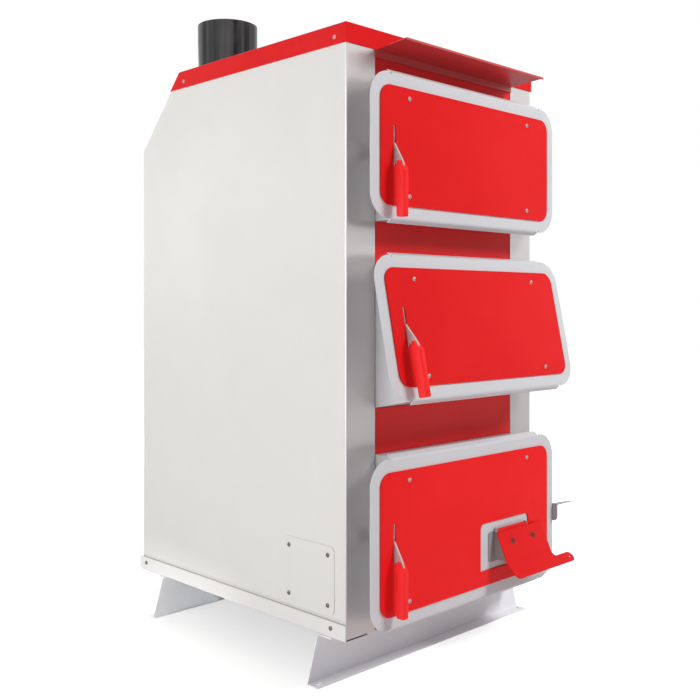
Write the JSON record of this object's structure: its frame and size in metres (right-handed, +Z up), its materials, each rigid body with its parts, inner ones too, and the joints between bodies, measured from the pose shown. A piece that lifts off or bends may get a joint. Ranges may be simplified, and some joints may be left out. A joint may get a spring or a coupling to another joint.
{
  "type": "solid fuel boiler",
  "caption": "Tall steel solid fuel boiler with a sloped rear, hinged front doors with lever handles, a draught flap, flared feet and a round flue pipe.",
  "frame": {"origin": "centre of the boiler's footprint at floor level, midway across its whole extent", "axes": "+Z up; -Y towards the doors; +X towards the hinge side, on the viewer's right"},
  "size_m": [0.6908, 1.012, 1.4754],
  "materials": {
    "white_casing": "smooth powder coat",
    "white_door": "smooth powder coat",
    "red_enamel": "glossy powder coat",
    "red_grip": "moulded plastic",
    "grey_paint": "satin paint",
    "galvanised": "zinc plated",
    "fastener_steel": "plated",
    "flue_steel": "heat resistant paint",
    "boiler_plate": "mill finish",
    "cast_grate": "as cast",
    "rope_seal": "braided rope",
    "fibre_board": "pressed fibre board",
    "mineral_wool": "mineral wool"
  },
  "bodies": {
    "casing": {"left_side_panel": "white_casing", "right_side_panel": "white_casing", "front_panel": "red_enamel", "rear_panel": "white_casing", "top_cover": "red_enamel", "visor": "red_enamel", "left_skirt": "grey_paint", "right_skirt": "grey_paint", "casing_screws": "fastener_steel", "side_cover_plate": "white_casing", "front_foot": "grey_paint", "rear_foot": "grey_paint", "foot_bolts": "fastener_steel", "vessel_shell": "boiler_plate", "firebox_shell": "boiler_plate", "lower_water_shelf": "boiler_plate", "upper_water_shelf": "boiler_plate", "grate": "cast_grate", "ash_pan": "galvanised", "upper_throat": "grey_paint", "loading_throat": "grey_paint", "ash_throat": "grey_paint", "hinge_pins": "fastener_steel", "flue_box": "flue_steel", "flue_pipe": "flue_steel", "supply_socket": "boiler_plate", "return_socket": "boiler_plate", "drain_socket": "boiler_plate", "left_insulation": "mineral_wool", "right_insulation": "mineral_wool", "top_insulation": "mineral_wool"},
    "upper_door": {"upper_pan": "white_door", "upper_panel": "red_enamel", "upper_lining": "fibre_board", "upper_seal": "rope_seal", "upper_screws": "fastener_steel"},
    "upper_door_lever": {"upper_lever": "galvanised", "upper_grip": "red_grip"},
    "loading_door": {"loading_pan": "white_door", "loading_panel": "red_enamel", "loading_lining": "fibre_board", "loading_seal": "rope_seal", "loading_screws": "fastener_steel"},
    "loading_door_lever": {"loading_lever": "galvanised", "loading_grip": "red_grip"},
    "ash_door": {"ash_door_pan": "white_door", "ash_door_panel": "red_enamel", "ash_door_lining": "fibre_board", "ash_door_seal": "rope_seal", "ash_door_screws": "fastener_steel", "air_collar": "white_door", "flap_rod": "fastener_steel", "chain_bracket": "grey_paint"},
    "ash_door_latch": {"ash_door_lever": "galvanised", "ash_door_grip": "red_grip"},
    "draught_flap": {"air_flap": "red_enamel", "flap_bolts": "fastener_steel"}
  },
  "joints": [
    {"name": "upper_door_hinge", "type": "hinge", "parent": "casing", "child": "upper_door", "pos_m": [0.2816, -0.38846, 1.02989], "axis": [0, 0, 1], "range_deg": [0, 120]},
    {"name": "loading_door_hinge", "type": "hinge", "parent": "casing", "child": "loading_door", "pos_m": [0.2816, -0.41854, 0.68158], "axis": [0, 0.2021, 0.9794], "range_deg": [0, 90]},
    {"name": "ash_door_hinge", "type": "hinge", "parent": "casing", "child": "ash_door", "pos_m": [0.2816, -0.38846, 0.2754], "axis": [0, 0, 1], "range_deg": [0, 100]},
    {"name": "upper_lever_turn", "type": "hinge", "parent": "upper_door", "child": "upper_door_lever", "pos_m": [-0.2414, -0.39846, 1.02989], "axis": [-1, 0, 0], "range_deg": [-3, 60]},
    {"name": "loading_lever_turn", "type": "hinge", "parent": "loading_door", "child": "loading_door_lever", "pos_m": [-0.2414, -0.42833, 0.6836], "axis": [-1, 0, 0], "range_deg": [-3, 60]},
    {"name": "ash_lever_turn", "type": "hinge", "parent": "ash_door", "child": "ash_door_latch", "pos_m": [-0.2414, -0.39846, 0.2754], "axis": [-1, 0, 0], "range_deg": [-3, 60]},
    {"name": "air_flap_turn", "type": "hinge", "parent": "ash_door", "child": "draught_flap", "pos_m": [0.1248, -0.42366, 0.2494], "axis": [-1, 0, 0], "range_deg": [0, 50]}
  ]
}
